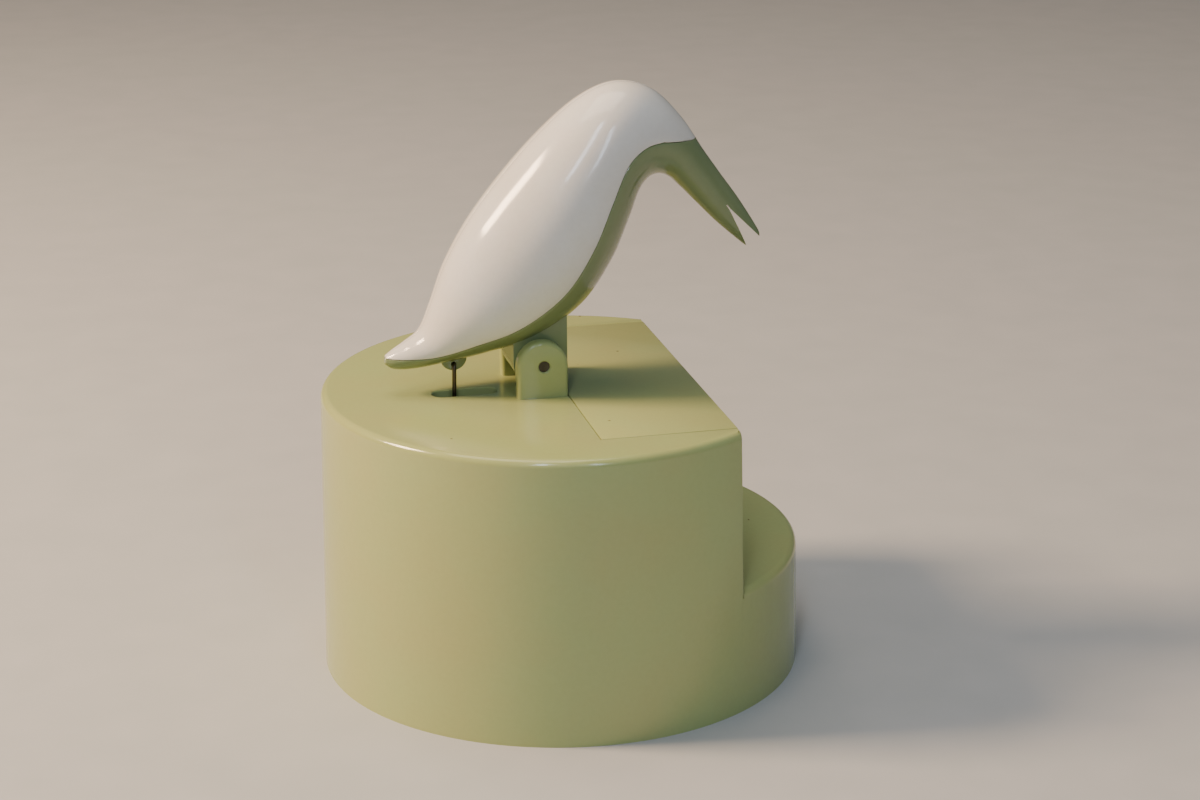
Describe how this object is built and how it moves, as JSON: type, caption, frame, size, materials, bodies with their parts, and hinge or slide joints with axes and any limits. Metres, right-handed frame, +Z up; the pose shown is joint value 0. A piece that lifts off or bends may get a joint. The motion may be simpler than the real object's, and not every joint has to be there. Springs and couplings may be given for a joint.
{
  "type": "lever toothpick dispenser",
  "caption": "Bird-shaped lever on a round box: pressing the head down works a rod and slide that push one toothpick out of a front slit to the forked beak.",
  "frame": {"origin": "middle of the drum's underside, on the plane it rests on", "axes": "+Z up, +X the way the bird's beak points and the toothpick comes out, +Y to the bird's left"},
  "size_m": [0.1018, 0.1018, 0.1241],
  "materials": {
    "sage_shell": "smooth moulded plastic, semi-gloss",
    "sage_lid": "smooth moulded plastic, semi-gloss",
    "sage_under": "satin moulded plastic",
    "sage_slide": "smooth moulded plastic, semi-gloss",
    "sage_belly": "polished moulded plastic, gloss",
    "white_shell": "polished moulded plastic, gloss",
    "ivory_inner": "satin moulded plastic",
    "steel_plate": "stamped sheet steel",
    "steel_screw": "zinc-plated steel",
    "spring_steel": "spring wire, satin",
    "dark_pin": "oil-blackened steel",
    "rod_wire": "dark drawn wire, satin",
    "bumper_rubber": "soft black rubber, matt"
  },
  "bodies": {
    "base": {"base_shell": "sage_shell", "bottom_plate": "sage_under", "plate_screws": "steel_screw", "hopper": "ivory_inner", "hopper_screws": "steel_screw", "slide_rail_left": "ivory_inner", "slide_rail_right": "ivory_inner", "rail_screws": "steel_screw", "crank_bracket": "steel_plate", "bracket_screws": "steel_screw", "crank_pin": "steel_plate", "crank_pin_clips": "dark_pin", "rest_bumper": "bumper_rubber", "pivot_pin": "dark_pin", "return_spring": "spring_steel"},
    "bird": {"bird_belly": "sage_belly", "bird_crown_left": "white_shell", "bird_crown_right": "white_shell"},
    "rod": {"tail_rod": "rod_wire"},
    "crank": {"bell_crank": "ivory_inner", "drive_pin": "dark_pin"},
    "slide": {"feed_slide": "sage_slide"},
    "lid": {"hopper_lid": "sage_lid"}
  },
  "joints": [
    {"name": "bird_peck", "type": "hinge", "parent": "base", "child": "bird", "pos_m": [-0.0052, 0, 0.0672], "axis": [0, 1, 0], "range_deg": [0, 64], "stiffness_Nm_per_rad": 0.028, "springref_deg": -51.57},
    {"name": "rod_swing", "type": "hinge", "parent": "bird", "child": "rod", "pos_m": [-0.0226, 0, 0.0666], "axis": [0, 1, 0], "range_deg": [-60, 0]},
    {"name": "crank_turn", "type": "hinge", "parent": "base", "child": "crank", "pos_m": [-0.008, 0, 0.024], "axis": [0, 1, 0], "range_deg": [0, 66.2]},
    {"name": "slide_feed", "type": "slide", "parent": "base", "child": "slide", "axis": [1, 0, 0], "range_m": [0, 0.0172], "deforming": ["return_spring"]},
    {"name": "lid_slide", "type": "slide", "parent": "base", "child": "lid", "axis": [-1, 0, 0], "range_m": [-0.01, 0]}
  ],
  "couplings": [
    {"joint": "rod_swing", "follows": "bird_peck", "ratio": -0.9306},
    {"joint": "crank_turn", "follows": "bird_peck", "ratio": 1.03},
    {"joint": "slide_feed", "follows": "bird_peck", "m_per_rad": 0.0152}
  ]
}
